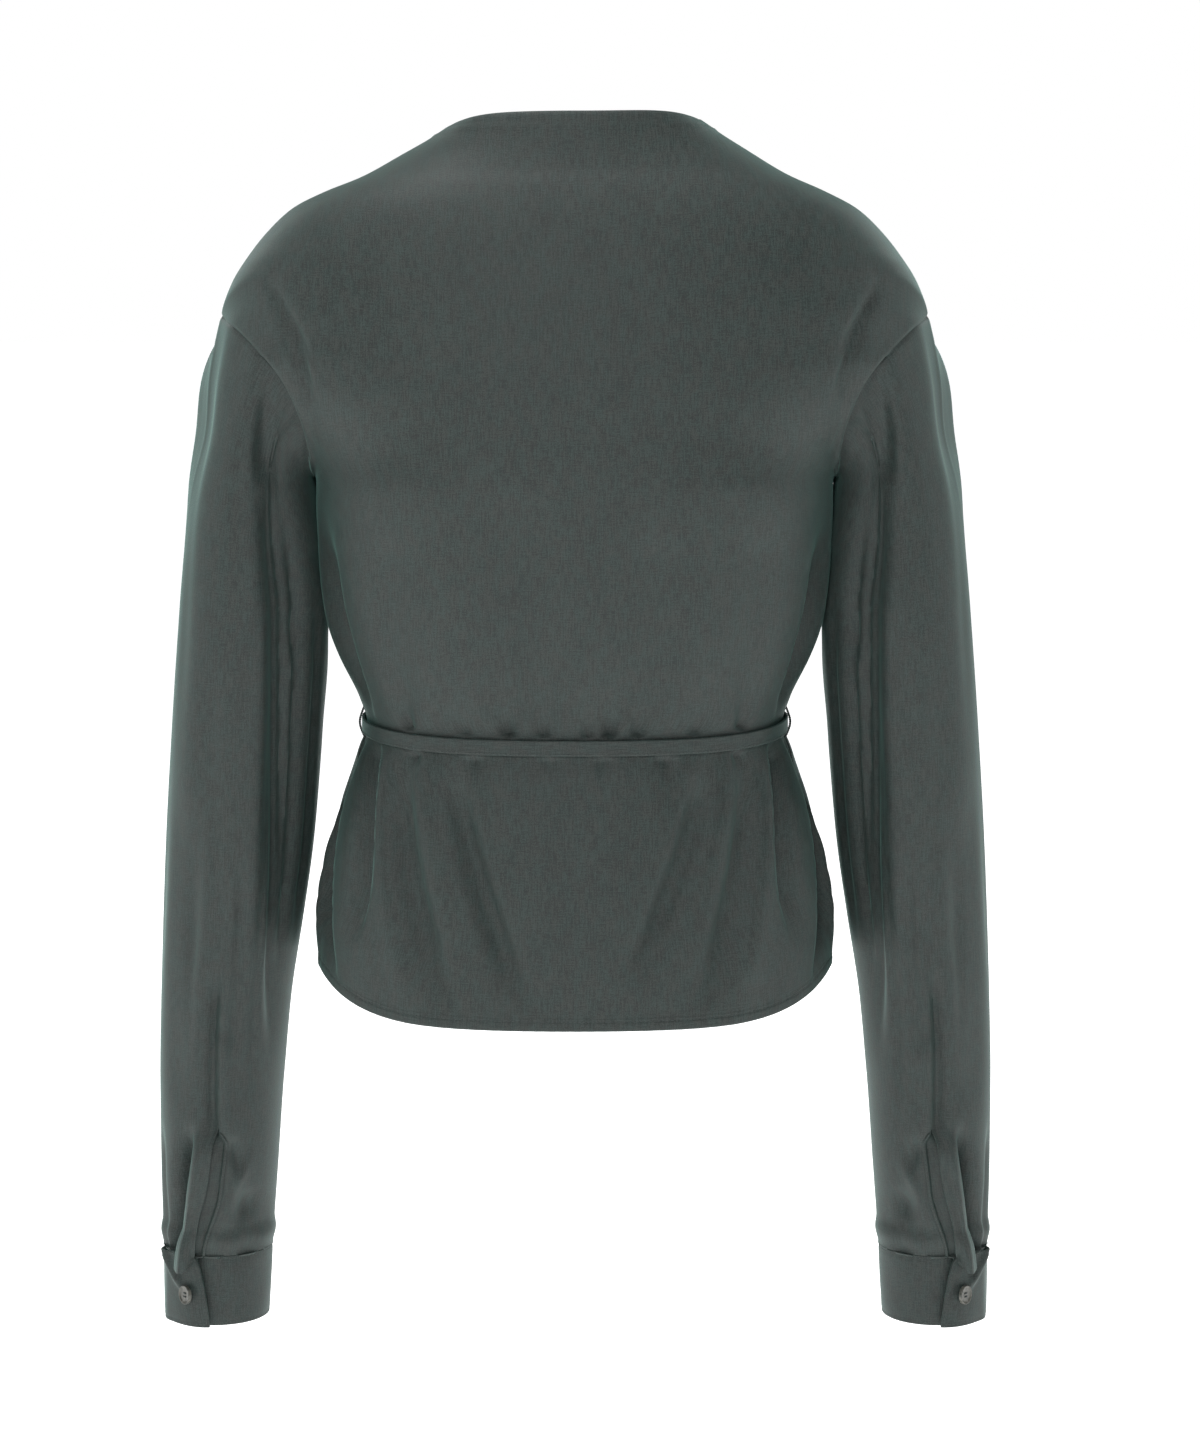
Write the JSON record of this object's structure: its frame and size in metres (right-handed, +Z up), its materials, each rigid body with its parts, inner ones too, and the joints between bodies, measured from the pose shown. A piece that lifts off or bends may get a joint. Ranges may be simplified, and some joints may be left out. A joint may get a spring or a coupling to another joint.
{
  "type": "cowl neck blouse",
  "caption": "Long-sleeved cowl neck blouse in soft twill, tied at the waist, with button cuffs; hollow, as worn.",
  "frame": {"origin": "middle of the neck opening, level with the neck points of the shoulder seams", "axes": "+Z up, -Y towards the front of the blouse, +X towards the wearer's left"},
  "size_m": [0.5068, 0.244, 0.7314],
  "materials": {
    "cloth": "satin",
    "button": "satin",
    "thread": "matte"
  },
  "bodies": {
    "root": {"back": "cloth", "front": "cloth", "sleeve_left": "cloth", "sleeve_right": "cloth", "placket_left": "cloth", "placket_right": "cloth", "cuff_left": "cloth", "cuff_right": "cloth", "tie": "cloth", "knot": "cloth", "tie_end_left": "cloth", "tie_end_right": "cloth", "button_left": "button", "button_right": "button", "carrier_left": "thread", "carrier_right": "thread"}
  },
  "joints": []
}
